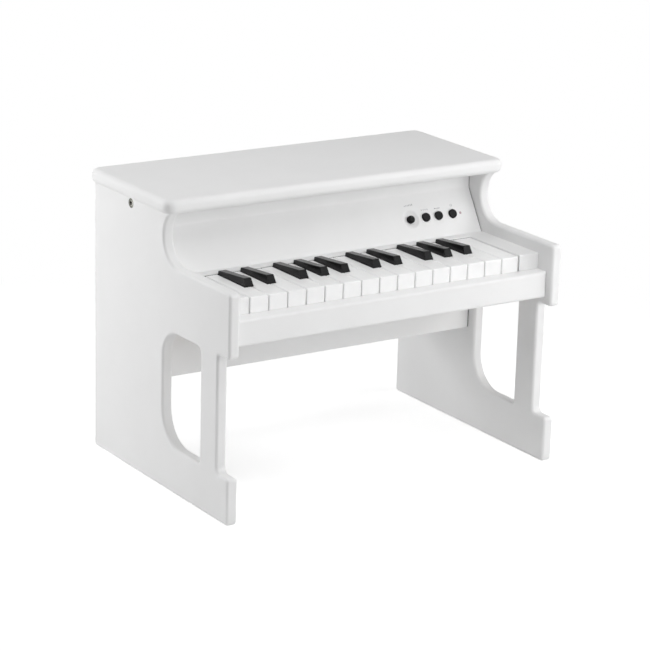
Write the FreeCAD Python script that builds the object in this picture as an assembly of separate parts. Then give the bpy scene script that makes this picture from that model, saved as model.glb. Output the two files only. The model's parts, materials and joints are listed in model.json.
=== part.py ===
# Toy upright piano: a white wooden cabinet around a two-octave keyboard with an electric sound board.
# X runs along the keyboard to the player's right, Y runs from front to back, Z is up.
# The origin is on the floor under the middle of the bounding box. Sizes are in millimetres.
import FreeCAD
import Part
import math
import os

from FreeCAD import Placement, Rotation, Vector

# Side panels
side_thickness = 12.0
side_depth = 275.0          # foot front to back edge
side_round = 3.0            # round-over along the edges
side_corner = 4.0           # corners of feet and arms
foot_height = 48.8
foot_fillet = 6.0           # between foot and leg
leg_setback = 22.0
leg_width = 33.0
arm_rise = 13.5             # arm top above the white keys
arm_height = 65.8
arm_length = 101.5          # level top of the arm
arm_fillet = 3.0            # between arm and leg
scoop_run = 16.1            # hollow curve from arm to lid, across
scoop_rise = 52.0           # and upwards
window_length = 74.5
window_drop = 1.7           # arm underside to window top
window_radii = (3.0, 36.0, 29.0, 8.0)   # front bottom, back bottom, back top, front top

# Lid, boards and cleats
lid_thickness = 15.0
lid_overhang = 6.0          # past the sides and the scoops
lid_back_overhang = 2.0
lid_corner = 11.0
lid_round = 6.0
slip_setback = 8.0
slip_thickness = 16.0
slip_height = 27.6
slip_drop = 16.0            # white key tops down to the slip
slip_round = 3.0
keybed_drop = 4.4           # pressed key hooks down to the keybed
keybed_thickness = 9.0
keybed_margin = 7.0         # keybed behind the key frame
case_floor = 111.7          # underside of the sound box above the floor
board_thickness = 9.0       # knee board and bottom board
knee_inset = 15.0           # knee board back to keybed back
knee_end_gap = 1.2
back_thickness = 5.0
cleat_size = 12.0
keybed_cleat_front = 60.0   # behind the feet's front
cleat_end_gap = 4.0

# Side bolts
bolt_setback = 32.3         # behind the front of the lid cleats
bolt_drop = 5.8             # below the lid
bolt_head_radius = 5.0
bolt_head_depth = 3.0
bolt_shank_radius = 2.5
bolt_hex = 5.0              # across the flats of the socket
bolt_socket_depth = 2.4
bolt_recess = 0.1           # head below the face

# Screws
pan_radius = 2.8
pan_height = 2.0
pan_shank_radius = 1.5
pan_length = 6.0
wood_head_radius = 3.5
wood_shank_radius = 1.75
wood_length = 16.0
lid_screw_sink = 2.0        # lid screws' heads into the cleats
screw_clearance = 0.05

# Front panel
panel_lean = 31.2           # sloped face from the upright, degrees
panel_lift = 0.4            # lower edge above the white keys
panel_thickness = 6.0
panel_end_gap = 0.8
panel_gap = 0.2             # lower edge to the bezel
strip_height = 21.5         # upright strip under the lid
crease_radius = 5.0
control_height = 23.7       # controls above the panel's lower edge, along the slope
lamp_inset = 20.8           # power lamp from the right side panel
lamp_spacing = 10.4         # lamp to power button
power_spacing = 18.2        # power button to demo button
demo_spacing = 16.3         # demo button to tone button
knob_spacing = 19.1         # tone button to volume knob
dish_radius = 10.0
dish_depth = 3.0
dish_round = 3.0            # soft rim of the dish

# Controls
knob_radius = 4.15
knob_proud = 2.6
knob_round = 2.0            # soft edge of its crown
knob_skirt_gap = 1.0        # knob above the dish bottom
shaft_radius = 2.0
shaft_clearance = 0.05
button_radius = 4.75
button_proud = 2.2
button_round = 0.7
button_clearance = 0.3
button_flange = 1.3         # flange past the cap
button_stem_radius = 2.5
lamp_radius = 1.4
lamp_proud = 0.5
lamp_body_radius = 1.9
standoff = 8.0              # main board behind the panel
standoff_radius = 3.0
main_board_height = 36.0
main_board_lift = 5.0       # above the panel's lower edge
main_board_margin = 14.0    # left of the knob
circuit_board = 1.6         # thickness of both circuit boards
pot_size = 10.0
pot_depth = 5.0
pot_bush_radius = 3.2
pad_base = 0.8
pad_dome_height = 1.4
pad_dome_radius = 4.0

# Keys
key_top = 222.7             # white key tops above the floor
key_pitch = 21.7
octaves = 2
key_gap = 0.9               # between white keys
key_length = 86.0           # white key from its front to the slot behind it
head_length = 32.5          # wide part in front of the black keys
key_height = 16.5           # white key top to lower rim
key_wall = 1.5
key_plate = 2.0             # thickness of the top
key_round = 1.2             # white keys' edges
black_width = 9.6
black_gap = 0.8             # black key to the white keys beside it
black_front_rise = 7.8      # black tops above the white tops, at the front
black_back_rise = 3.6       # and at the back
black_round = 0.8
black_rake = 4.0            # lean of the black key's front
black_draft = 6.7           # lean of its flanks, degrees
key_dip = 3.1               # travel of a key about the rod, degrees
slip_clearance = 0.5        # key fronts to the slip

# Key tails, pivot and hooks
tail_drop = 7.5             # white top to the top of the tail
pivot_setback = 23.5        # rod behind the key tops
pivot_drop = 14.0           # rod below the white key tops
rod_radius = 1.5
rod_clearance = 0.05
boss_radius = 4.5
hook_drop = 8.0             # toe of the hook below the key's rim
hook_width = 4.0
hook_thickness = 2.0
toe_length = 5.0
toe_thickness = 1.5
guide_clearance = 0.4
rib_thickness = 1.2
plunger_size = 4.0
spring_seat = 16.0          # spring rib in front of the rod
seat_drop = 0.5             # its lower edge below the rod's axis

# Key frame, stops, contacts and springs
cheek_width = 24.0
cheek_gap = 1.3             # outer keys to the cheeks
bezel_rise = 0.6            # above the white keys
bezel_wall = 2.0
bezel_round = 1.5
slot_width = 2.0            # key tops to the bridge
bridge_depth = 10.9
bridge_gap = 1.0            # key tails to the bridge
frame_floor = 2.5
frame_end_gap = 0.3
frame_front_gap = 2.0       # behind the key fronts
frame_tail = 2.0            # floor behind the spring ledge
stop_setback = 5.0          # down stop behind the white keys' heads
stop_depth = 8.0
stop_rail_margin = 1.0
felt_thickness = 2.5
up_felt_thickness = 1.2
stop_clearance = 0.3
hook_setback = 10.0         # hooks behind the down stop
lip_thickness = 2.5
lip_depth = 1.1             # lip past the toes of the hooks
rail_wall = 2.0
post_width = 3.0            # guide post in a white key
post_depth = 8.0
post_setback = 9.5          # behind the key fronts
post_drop = 9.0             # below the white key tops
black_post_depth = 5.5
lug_thickness = 2.2
lug_gap = 0.6               # lugs to key tails
lug_eye = 4.2
lug_depth = 12.0
keys_per_lug = 5
ledge_gap = 7.0             # rod to the spring ledge
ledge_depth = 15.0
ledge_drop = 2.8            # key bosses down to the ledge's top
spring_thickness = 0.5
finger_width = 5.0
contact_gap = 1.5           # up-stop rail to the contact board
contact_depth = 20.0
contact_rib = 2.0
contact_lift = 2.5          # board above the frame's floor
strip_base = 1.2
strip_depth = 12.0
dome_radius = 3.5
dome_top_radius = 2.2
dome_height = 4.0
dome_end = 2.0              # strip and board past the last dome and strip

# Sound, power and sockets
speaker_height = 86.0       # speaker axis above the bottom board
speaker_hole = 33.0         # opening in its flange
speaker_rim = 0.6           # flange past the screw heads
speaker_flange = 2.0
speaker_depth = 30.0
magnet_radius = 22.5
magnet_depth = 12.0
basket_wall = 1.5
cone_gap = 0.3
cone_wall = 0.9
surround_width = 2.7
throat_gap = 3.6            # cone to the magnet
dust_cap_radius = 9.5
dust_cap_rise = 2.7
grille_radius = 31.0
grille_slot = 3.5
grille_pitch = 7.5
battery_offset = -70.0      # battery box from the middle, along X
battery_setback = 1.5       # and behind the middle of the bottom board
cell_radius = 7.25
cell_length = 50.0
cell_gap = 0.3
cell_nub_radius = 2.75
cell_nub = 1.0
tray_wall = 2.0
tray_end_wall = 4.5
tray_flange = 3.0
tray_gap = 0.1
cover_thickness = 2.5
socket_height = 31.0        # jacks above the bottom board
jack_offset = 38.0          # power jack from the right side panel
jack_spacing = 30.0         # headphone jack to power jack
jack_body = 12.0
jack_depth = 14.0
jack_bush_radius = 4.0
jack_bore = 1.8
jack_bore_depth = 17.0
jack_nut_radius = 5.5
jack_nut = 2.0
dc_bore = 2.75
dc_pin = 1.0
dc_bore_depth = 9.5

# Places that follow from the sizes
front = -(side_depth + lid_back_overhang) / 2
arm_top = key_top + arm_rise
arm_bottom = arm_top - arm_height
side_height = arm_top + scoop_rise
scoop_end = front + arm_length + scoop_run
back = front + side_depth
back_inner = back - back_thickness
back_cleat_front = back_inner - cleat_size

white_count = 7 * octaves + 1
keyboard_half = white_count * key_pitch / 2
well_half = keyboard_half + cheek_gap
inner_half = well_half + cheek_width
outer_half = inner_half + side_thickness

slip_front = front + slip_setback
slip_back = slip_front + slip_thickness
slip_top = key_top - slip_drop
key_front = slip_back + slip_clearance
key_back = key_front + key_length
notch_y = key_front + head_length
rim_z = key_top - key_height
tail_top = key_top - tail_drop
tail_width = 4 * key_pitch / 7 - lug_thickness - 2 * lug_gap
pivot_y = key_back + pivot_setback
pivot_z = key_top - pivot_drop
dip_sine = math.sin(math.radians(key_dip))

bridge_front = key_back + slot_width
bridge_back = bridge_front + bridge_depth
bezel_top = key_top + bezel_rise

frame_half = well_half - frame_end_gap
frame_front = key_front + frame_front_gap

stop_front = notch_y + stop_setback
stop_back = stop_front + stop_depth
stop_top = rim_z - (pivot_y - stop_front) * dip_sine - stop_clearance
hook_y = stop_back + hook_setback
toe_front = hook_y + hook_thickness
toe_top = rim_z - hook_drop
lip_front = toe_front + 2 * stop_clearance
lip_bottom = toe_top + stop_clearance + up_felt_thickness
lip_top = lip_bottom + lip_thickness
rail_front = toe_front + toe_length + lip_depth
rail_back = rail_front + rail_wall
keybed_top = toe_top - toe_thickness - (pivot_y - hook_y) * dip_sine - keybed_drop
floor_top = keybed_top + frame_floor
keybed_bottom = keybed_top - keybed_thickness

contact_front = rail_back + contact_gap
contact_back = contact_front + contact_depth
contact_middle = (contact_front + contact_back) / 2
contact_bottom = floor_top + contact_lift
contact_top = contact_bottom + circuit_board
strip_top = contact_top + strip_base
dome_top = strip_top + dome_height
plunger_bottom = dome_top + stop_clearance

seat_y = pivot_y - spring_seat
seat_z = pivot_z - seat_drop
ledge_front = pivot_y + ledge_gap
ledge_back = ledge_front + ledge_depth
ledge_top = pivot_z - boss_radius - ledge_drop
frame_back = ledge_back + frame_tail
keybed_back = frame_back + keybed_margin
knee_back = keybed_back - knee_inset
knee_front = knee_back - board_thickness
bottom_top = case_floor + board_thickness

panel_y = bridge_back + panel_gap
panel_z = key_top + panel_lift
strip_bottom = side_height - strip_height
lean = math.radians(panel_lean)
crease_y = panel_y + (strip_bottom - panel_z) * math.tan(lean)
strip_back = crease_y + panel_thickness
panel_half = inner_half - panel_end_gap

lamp_x = inner_half - lamp_inset
power_x = lamp_x - lamp_spacing
demo_x = power_x - power_spacing
tone_x = demo_x - demo_spacing
knob_x = tone_x - knob_spacing
board_depth = panel_thickness + standoff        # panel face to the main board
main_left = knob_x - main_board_margin
main_right = inner_half - cleat_size - screw_clearance
main_top = main_board_lift + main_board_height
screw_inset = 2 * pan_shank_radius + 2 * screw_clearance

speaker_z = bottom_top + speaker_height
speaker_at = Vector(0, back_inner, speaker_z)
speaker_screw_circle = speaker_hole + basket_wall + pan_radius + stop_clearance
speaker_radius = speaker_screw_circle + pan_radius + speaker_rim
tray_x = battery_offset
tray_y = (knee_back + back_inner) / 2 + battery_setback
tray_inner_x = cell_length + 2 * cell_gap
tray_inner_y = 3 * (cell_radius + cell_gap)
tray_x_half = tray_inner_x + tray_end_wall
tray_y_half = tray_inner_y + tray_wall
cover_top = case_floor + cover_thickness
cell_z = cover_top + cell_gap + cell_radius
tray_inner_top = cell_z + cell_radius + cell_gap
socket_z = bottom_top + socket_height
dc_x = inner_half - jack_offset
headphone_x = dc_x - jack_spacing
lid_cleat_front = strip_back + 2 * cleat_end_gap
lid_cleat_back = back_cleat_front - cleat_end_gap
bolt_y = lid_cleat_front + bolt_setback
bolt_z = side_height - bolt_drop
wood_pilot = wood_shank_radius + screw_clearance
pan_pilot = pan_shank_radius + screw_clearance


def block(x, y, z):
    """Box between the low and high ends given for each axis."""
    return Part.makeBox(x[1] - x[0], y[1] - y[0], z[1] - z[0], Vector(x[0], y[0], z[0]))


def rod(radius, start, end):
    """Round bar between two points."""
    return Part.makeCylinder(radius, (end - start).Length, start, end - start)


def bar_along_x(outline, x):
    """Bar with a (y, z) outline, between two places along X."""
    points = [Vector(x[0], y, z) for y, z in outline]
    return Part.Face(Part.makePolygon(points + points[:1])).extrude(Vector(x[1] - x[0], 0, 0))


def turned(outline, centre, axis):
    """Piece turned about an axis from (radius, height) points along it."""
    points = [Vector(radius, 0, height) for radius, height in outline]
    face = Part.Face(Part.makePolygon(points + points[:1]))
    solid = face.revolve(Vector(0, 0, 0), Vector(0, 0, 1), 360)
    solid.Placement = Placement(centre, Rotation(Vector(0, 0, 1), axis))
    return solid


def rounded_wire(corners):
    """Closed wire through (point, radius) corners, with a tangent arc at each that has a radius."""
    edges = []
    last = None
    first = None
    for i, (corner, radius) in enumerate(corners):
        before = (corners[i - 1][0] - corner).normalize()
        after = (corners[(i + 1) % len(corners)][0] - corner).normalize()
        half_angle = before.getAngle(after) / 2
        start = corner + before * (radius / math.tan(half_angle))
        end = corner + after * (radius / math.tan(half_angle))
        if last is None:
            first = start
        else:
            edges.append(Part.makeLine(last, start))
        if radius > 0:
            middle = corner + (before + after).normalize() * (radius / math.sin(half_angle) - radius)
            edges.append(Part.Arc(start, middle, end).toShape())
        last = end
    edges.append(Part.makeLine(last, first))
    return Part.Wire(edges)


def fused(shapes):
    """One solid made of shapes that meet or overlap."""
    return shapes[0].multiFuse(shapes[1:]).removeSplitter()


def on_panel(shape):
    """Move a shape drawn on the sloped face: X along the piano, Y up the slope, Z out of the face."""
    place = Placement(Vector(0, panel_y, panel_z), Rotation(Vector(1, 0, 0), 90 - panel_lean))
    shape.Placement = place.multiply(shape.Placement)
    return shape


def mirrored(shape):
    """The same shape on the other side of the piano."""
    return shape.mirror(Vector(0, 0, 0), Vector(1, 0, 0))


def save(name, shapes):
    """Write one node, made of one solid or of a list of separate solids."""
    shape = Part.makeCompound(shapes) if isinstance(shapes, list) else shapes
    shape.exportStep("parts/" + name + ".step")


def pan_screw(seat, axis):
    """Pan-head screw whose head stands on the seat; the axis points out of the head."""
    outline = [(0, -pan_length), (pan_shank_radius, -pan_length), (pan_shank_radius, 0),
               (pan_radius, 0), (pan_radius, pan_height / 2), (pan_radius / 2, pan_height), (0, pan_height)]
    return turned(outline, seat, axis)


def pan_hole(seat, axis):
    """Hole for a pan-head screw's shank."""
    return rod(pan_pilot, seat - axis * (pan_length + screw_clearance), seat + axis * pan_height)


def wood_screw(seat, axis):
    """Countersunk wood screw, flush with the seat; the axis points out of the head."""
    cone = wood_head_radius - wood_shank_radius
    outline = [(0, -wood_length), (wood_shank_radius, -wood_length + cone), (wood_shank_radius, -cone),
               (wood_head_radius, 0), (0, 0)]
    return turned(outline, seat, axis)


def wood_hole(seat, axis):
    """Countersunk hole that a wood screw fills, with clearance."""
    cone = wood_head_radius - wood_shank_radius
    mouth = wood_head_radius + screw_clearance
    outline = [(0, -wood_length - screw_clearance), (wood_pilot, -wood_length - screw_clearance),
               (wood_pilot, -cone), (mouth, 0), (mouth, cleat_size), (0, cleat_size)]
    return turned(outline, seat, axis)


def both_sides(points):
    """Each point and its mirror image across the middle of the piano."""
    return points + [Vector(-p.x, p.y, p.z) for p in points]


up = Vector(0, 0, 1)
rearwards = Vector(0, 1, 0)
panel_out = Vector(0, -math.cos(lean), math.sin(lean))

cleat_x = inner_half - cleat_size / 2
back_screw_heights = (bottom_top + cleat_size + wood_length, (case_floor + side_height) / 2,
                      side_height - cleat_size - wood_length)
back_screws = both_sides([Vector(cleat_x, back, z) for z in back_screw_heights])
keybed_screws = both_sides([Vector(cleat_x, y, keybed_top)
                            for y in (front + keybed_cleat_front + wood_length, knee_front - wood_length)])
bottom_screws = both_sides([Vector(cleat_x, y, case_floor)
                            for y in (knee_back + wood_length, back_cleat_front - wood_length)])


def side_panel():
    """Right side board: foot, leg, arm and scooped shoulder around a D-shaped window."""
    outline = [(0, 0, side_corner), (side_depth, 0, side_corner), (side_depth, side_height, 0),
               (arm_length, side_height, 0), (arm_length, arm_top, 0), (0, arm_top, side_corner),
               (0, arm_bottom, side_corner), (leg_setback, arm_bottom, arm_fillet),
               (leg_setback, foot_height, foot_fillet), (0, foot_height, side_corner)]
    window_front = leg_setback + leg_width
    window_back = window_front + window_length
    window_top = arm_bottom - window_drop
    window = zip((window_front, window_back, window_back, window_front),
                 (foot_height, foot_height, window_top, window_top), window_radii)

    def board(corners):
        wire = rounded_wire([(Vector(inner_half, front + y, z), radius) for y, z, radius in corners])
        return Part.Face(wire).extrude(Vector(side_thickness, 0, 0))

    scoop_radius = (scoop_run ** 2 + scoop_rise ** 2) / (2 * scoop_rise)
    scoop_centre = Vector(inner_half, front + arm_length, arm_top + scoop_radius)
    scoop = rod(scoop_radius, scoop_centre, scoop_centre + Vector(side_thickness, 0, 0))
    panel = board(outline).cut([board(window), scoop])
    flat = [edge for edge in panel.Edges
            if edge.BoundBox.XLength < 1e-6 and edge.BoundBox.ZMin < side_height - 1e-6]
    panel = panel.makeFillet(side_round, flat)
    recess_depth = bolt_head_depth + bolt_recess
    mouth = Vector(outer_half, bolt_y, bolt_z)
    recess = rod(bolt_head_radius + screw_clearance, mouth - Vector(recess_depth, 0, 0), mouth)
    shank = rod(bolt_shank_radius + screw_clearance, mouth - Vector(side_thickness, 0, 0), mouth)
    return panel.cut([recess, shank])


def side_bolt():
    """Socket-head bolt through the right side panel into the lid cleat."""
    top = Vector(outer_half - bolt_recess, bolt_y, bolt_z)
    seat = top - Vector(bolt_head_depth, 0, 0)
    tip = Vector(inner_half - cleat_size, bolt_y, bolt_z)
    bolt = fused([rod(bolt_head_radius, seat, top), rod(bolt_shank_radius, tip, seat)])
    reach = bolt_hex / math.sqrt(3)
    corners = [Vector(top.x, top.y + reach * math.cos(math.radians(60 * i)),
                      top.z + reach * math.sin(math.radians(60 * i))) for i in range(6)]
    socket_face = Part.Face(Part.makePolygon(corners + corners[:1]))
    return bolt.cut(socket_face.extrude(Vector(-bolt_socket_depth, 0, 0)))


def top_lid():
    """Lid with round corners and softly rounded edges."""
    x = outer_half + lid_overhang
    lid_front = scoop_end - lid_overhang
    lid_back = back + lid_back_overhang
    corners = [(Vector(px, py, side_height), lid_corner)
               for px, py in ((-x, lid_front), (x, lid_front), (x, lid_back), (-x, lid_back))]
    lid = Part.Face(rounded_wire(corners)).extrude(Vector(0, 0, lid_thickness))
    rims = [edge for edge in lid.Edges if edge.BoundBox.ZLength < 1e-6]
    lid = lid.makeFillet(min(lid_round, 0.4 * lid_thickness), rims)
    return lid.cut([wood_hole(seat, -up) for seat in lid_screws()])


def lid_screws():
    """Seats of the screws that go up through the lid cleats, midway between their ends and the bolt."""
    places = ((lid_cleat_front + bolt_y) / 2, (bolt_y + lid_cleat_back) / 2)
    return both_sides([Vector(cleat_x, y, side_height - cleat_size + lid_screw_sink) for y in places])


def cabinet_cleats():
    """Square battens in the corners of the cabinet, with holes for the bolts and screws."""
    x = (inner_half - cleat_size, inner_half)
    lid_cleat = block(x, (lid_cleat_front, lid_cleat_back), (side_height - cleat_size, side_height))
    bolt_hole = rod(bolt_shank_radius + screw_clearance,
                    Vector(x[0], bolt_y, bolt_z), Vector(x[1], bolt_y, bolt_z))
    keybed_cleat = block(x, (front + keybed_cleat_front, knee_front - cleat_end_gap),
                         (keybed_bottom - cleat_size, keybed_bottom))
    bottom_cleat = block(x, (knee_back + cleat_end_gap, back_cleat_front - cleat_end_gap),
                         (bottom_top, bottom_top + cleat_size))
    back_cleat = block(x, (back_cleat_front, back_inner), (bottom_top, side_height))
    slope_length = (strip_bottom - panel_z) / math.cos(lean)
    panel_cleat = on_panel(block(x, (cleat_size, slope_length - cleat_end_gap),
                                 (-panel_thickness - cleat_size, -panel_thickness)))
    cleats = [lid_cleat.cut([bolt_hole] + [wood_hole(seat, -up) for seat in lid_screws()]),
              keybed_cleat.cut([wood_hole(seat, up) for seat in keybed_screws]),
              bottom_cleat.cut([wood_hole(seat, -up) for seat in bottom_screws]),
              back_cleat.cut([wood_hole(seat, rearwards) for seat in back_screws]),
              panel_cleat]
    return cleats + [mirrored(cleat) for cleat in cleats]


def key_slip():
    """Board in front of the keys, rounded along its front edges."""
    slip = block((-inner_half, inner_half), (slip_front, slip_back), (slip_top - slip_height, slip_top))
    front_edges = [edge for edge in slip.Edges if edge.BoundBox.YMax < slip_back - 1e-6]
    return slip.makeFillet(slip_round, front_edges)


def keybed():
    """Board that carries the key action."""
    board = block((-inner_half, inner_half), (slip_back, keybed_back), (keybed_bottom, keybed_top))
    return board.cut([wood_hole(seat, up) for seat in keybed_screws]
                     + [pan_hole(seat, up) for seat in frame_screws()])


def around_tray(half_x, half_y, z):
    """Box centred on the battery box."""
    return block((tray_x - half_x, tray_x + half_x), (tray_y - half_y, tray_y + half_y), z)


def knee_board():
    """Upright board under the keybed."""
    x = inner_half - knee_end_gap
    return block((-x, x), (knee_front, knee_back), (case_floor, keybed_bottom))


def bottom_board():
    """Floor of the sound box, cut out for the battery box."""
    board = block((-inner_half, inner_half), (knee_back, back_inner), (case_floor, bottom_top))
    hole = around_tray(tray_x_half + tray_gap, tray_y_half + tray_gap, (case_floor, bottom_top))
    return board.cut([hole] + [wood_hole(seat, -up) for seat in bottom_screws])


def slot_through_back(z, half_length):
    """Level slot with round ends, through the back panel."""
    half = grille_slot / 2
    ends = half_length - half
    x = (-ends, ends)
    middle = block(x, (back_inner, back), (z - half, z + half))
    rounds = [rod(half, Vector(end, back_inner, z), Vector(end, back, z)) for end in x]
    return fused([middle] + rounds)


def back_panel():
    """Thin back with slots in a circle before the speaker, and holes for the jacks and screws."""
    panel = block((-inner_half, inner_half), (back_inner, back), (case_floor, side_height))
    rows = int((grille_radius - grille_slot) / grille_pitch)
    slots = [slot_through_back(speaker_z + row * grille_pitch,
                               math.sqrt(grille_radius ** 2 - (row * grille_pitch) ** 2))
             for row in range(-rows, rows + 1)]
    jacks = [rod(jack_bush_radius + screw_clearance,
                 Vector(x, back_inner, socket_z), Vector(x, back, socket_z)) for x in (headphone_x, dc_x)]
    return panel.cut(slots + jacks + [wood_hole(seat, rearwards) for seat in back_screws]
                     + [pan_hole(seat, -rearwards) for seat in speaker_screws()])


def front_panel():
    """Bent panel: upright strip under the lid and sloped control face, with standoffs behind it."""
    inner_y = panel_y + panel_thickness * math.cos(lean)
    inner_z = panel_z - panel_thickness * math.sin(lean)
    inner_crease = inner_z + (strip_back - inner_y) / math.tan(lean)
    outline = [(panel_y, panel_z), (crease_y, strip_bottom), (crease_y, side_height),
               (strip_back, side_height), (strip_back, inner_crease), (inner_y, inner_z)]
    panel = bar_along_x(outline, (-panel_half, panel_half))
    crease = [edge for edge in panel.Edges if edge.BoundBox.XLength > panel_half
              and abs(edge.CenterOfMass.z - strip_bottom) < 1e-6]
    panel = panel.makeFillet(crease_radius, crease)

    def through(x, radius):
        return on_panel(rod(radius, Vector(x, control_height, -2 * panel_thickness),
                            Vector(x, control_height, panel_thickness)))

    dish_ball = (dish_radius ** 2 + dish_depth ** 2) / (2 * dish_depth)
    dish = on_panel(Part.makeSphere(dish_ball, Vector(knob_x, control_height, dish_ball - dish_depth)))
    panel = panel.cut(dish)
    dish_rim = [edge for edge in panel.Edges if abs(edge.Length - 2 * math.pi * dish_radius) < 1e-3]
    panel = panel.makeFillet(dish_round, dish_rim)
    holes = [through(x, button_radius + button_clearance) for x in (tone_x, demo_x, power_x)]
    holes += [through(knob_x, shaft_radius + button_clearance),
              through(lamp_x, lamp_radius + screw_clearance)]
    posts = [on_panel(rod(standoff_radius, Vector(x, y, -board_depth), Vector(x, y, -panel_thickness)))
             for x, y in main_board_corners()]
    panel = panel.cut(holes)
    return fused([panel] + posts).cut([pan_hole(seat, -panel_out) for seat in main_screws()])


def main_board_corners():
    """Screw places of the main board, on the sloped face."""
    inset = standoff_radius + screw_clearance
    return [(x, y) for x in (main_left + inset, main_right - inset)
            for y in (main_board_lift + inset, main_top - inset)]


def main_screws():
    """Seats of the screws on the back of the main board."""
    place = Placement(Vector(0, panel_y, panel_z), Rotation(Vector(1, 0, 0), 90 - panel_lean))
    return [place.multVec(Vector(x, y, -board_depth - circuit_board)) for x, y in main_board_corners()]


def main_board():
    """Circuit board behind the control face."""
    board = on_panel(block((main_left, main_right), (main_board_lift, main_top),
                           (-board_depth - circuit_board, -board_depth)))
    return board.cut([pan_hole(seat, -panel_out) for seat in main_screws()])


def volume_pot():
    """Body and bushing of the rotary volume control, bored for the knob's shaft."""
    half = pot_size / 2
    bush_end = -panel_thickness - button_clearance
    body = block((knob_x - half, knob_x + half), (control_height - half, control_height + half),
                 (-board_depth, -board_depth + pot_depth))
    bush = rod(pot_bush_radius, Vector(knob_x, control_height, -board_depth),
               Vector(knob_x, control_height, bush_end))
    bore = rod(shaft_radius + shaft_clearance, Vector(knob_x, control_height, -board_depth + rib_thickness),
               Vector(knob_x, control_height, bush_end))
    return on_panel(fused([body, bush]).cut(bore))


def volume_knob():
    """Small domed knob with its shaft."""
    base = -dish_depth + knob_skirt_gap
    tip = -board_depth + rib_thickness + button_clearance
    outline = [(0, tip), (shaft_radius, tip), (shaft_radius, base), (knob_radius, base),
               (knob_radius, knob_proud), (0, knob_proud)]
    knob = turned(outline, Vector(knob_x, control_height, 0), up)
    rim = [edge for edge in knob.Edges
           if edge.BoundBox.ZMin > knob_proud - 1e-6 and edge.BoundBox.XLength > knob_radius]
    return on_panel(knob.makeFillet(knob_round, rim))


def push_button(x):
    """Round button with a retaining flange behind the panel and a stem over the rubber pad."""
    flange_top = -panel_thickness - button_clearance
    flange_bottom = flange_top - button_flange
    stem_end = -board_depth + pad_base + pad_dome_height + stop_clearance
    flange_radius = button_radius + button_flange
    outline = [(0, stem_end), (button_stem_radius, stem_end), (button_stem_radius, flange_bottom),
               (flange_radius, flange_bottom), (flange_radius, flange_top), (button_radius, flange_top),
               (button_radius, button_proud), (0, button_proud)]
    button = turned(outline, Vector(x, control_height, 0), up)
    rim = [edge for edge in button.Edges
           if edge.BoundBox.ZMin > button_proud - 1e-6 and edge.BoundBox.XLength > button_radius]
    return on_panel(button.makeFillet(button_round, rim))


def button_pad():
    """Silicone pad on the main board with one dome under each button."""
    half = pad_dome_radius + dome_end
    base = block((tone_x - half, power_x + half), (control_height - half, control_height + half),
                 (-board_depth, -board_depth + pad_base))
    places = [Vector(x, control_height, -board_depth + pad_base) for x in (tone_x, demo_x, power_x)]
    domes = [Part.makeCone(pad_dome_radius, button_stem_radius, pad_dome_height, place) for place in places]
    return on_panel(fused([base] + domes))


def power_lamp():
    """Small lamp standing on the main board, its lens in the panel."""
    shoulder = -panel_thickness - screw_clearance
    outline = [(0, -board_depth), (lamp_body_radius, -board_depth), (lamp_body_radius, shoulder),
               (lamp_radius, shoulder), (lamp_radius, 0), (lamp_radius / 2, lamp_proud), (0, lamp_proud)]
    return on_panel(turned(outline, Vector(lamp_x, control_height, 0), up))


def key_slots():
    """Where the keys lie: colour, slot centre and, for a white key, its head and tail edges.

    A run of white keys with a black key between each pair shares the keyboard's back into equal slots.
    """
    slots = []
    left = -keyboard_half
    half_black = black_width / 2 + black_gap
    for whites in (3, 4) * octaves + (1,):
        width = whites * key_pitch / (2 * whites - 1)
        centres = [left + (i + 0.5) * width for i in range(2 * whites - 1)]
        for i, centre in enumerate(centres):
            if i % 2:
                slots.append(("black", centre, None, None))
                continue
            head = (left + i / 2 * key_pitch + key_gap / 2, left + (i / 2 + 1) * key_pitch - key_gap / 2)
            tail = (centres[i - 1] + half_black if i > 0 else head[0],
                    centres[i + 1] - half_black if i + 1 < len(centres) else head[1])
            slots.append(("white", centre, head, tail))
        left += whites * key_pitch
    return slots


def key_tail(centre):
    """Rear of a key: hollow arm, round boss on the rod and a rib for the spring."""
    x = (centre - tail_width / 2, centre + tail_width / 2)
    inside = (x[0] + key_wall, x[1] - key_wall)
    boss_front = pivot_y - boss_radius
    arm = block(x, (key_back - key_wall, pivot_y), (rim_z, tail_top))
    boss = rod(boss_radius, Vector(x[0], pivot_y, pivot_z), Vector(x[1], pivot_y, pivot_z))
    hollow = block(inside, (key_back - 2 * key_wall, boss_front), (rim_z, tail_top - key_plate))
    seat = block(inside, (seat_y - rib_thickness, seat_y + rib_thickness), (seat_z, tail_top - key_plate))
    bore = rod(rod_radius + rod_clearance, Vector(x[0], pivot_y, pivot_z), Vector(x[1], pivot_y, pivot_z))
    return fused([arm, boss]), hollow, seat, bore


def key_feet(centre, hook_ceiling, plunger_ceiling):
    """Up-stop hook and contact plunger, hanging from the inside of a key's top."""
    x = (centre - hook_width / 2, centre + hook_width / 2)
    toe_bottom = toe_top - toe_thickness
    toe_back = toe_front + toe_length
    hook = bar_along_x([(hook_y, hook_ceiling), (hook_y, toe_bottom), (toe_back, toe_bottom),
                        (toe_back, toe_top), (toe_front, toe_top), (toe_front, hook_ceiling)], x)
    half = plunger_size / 2
    plunger = block((centre - half, centre + half), (contact_middle - half, contact_middle + half),
                    (plunger_bottom, plunger_ceiling))
    return [hook, plunger]


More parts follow.
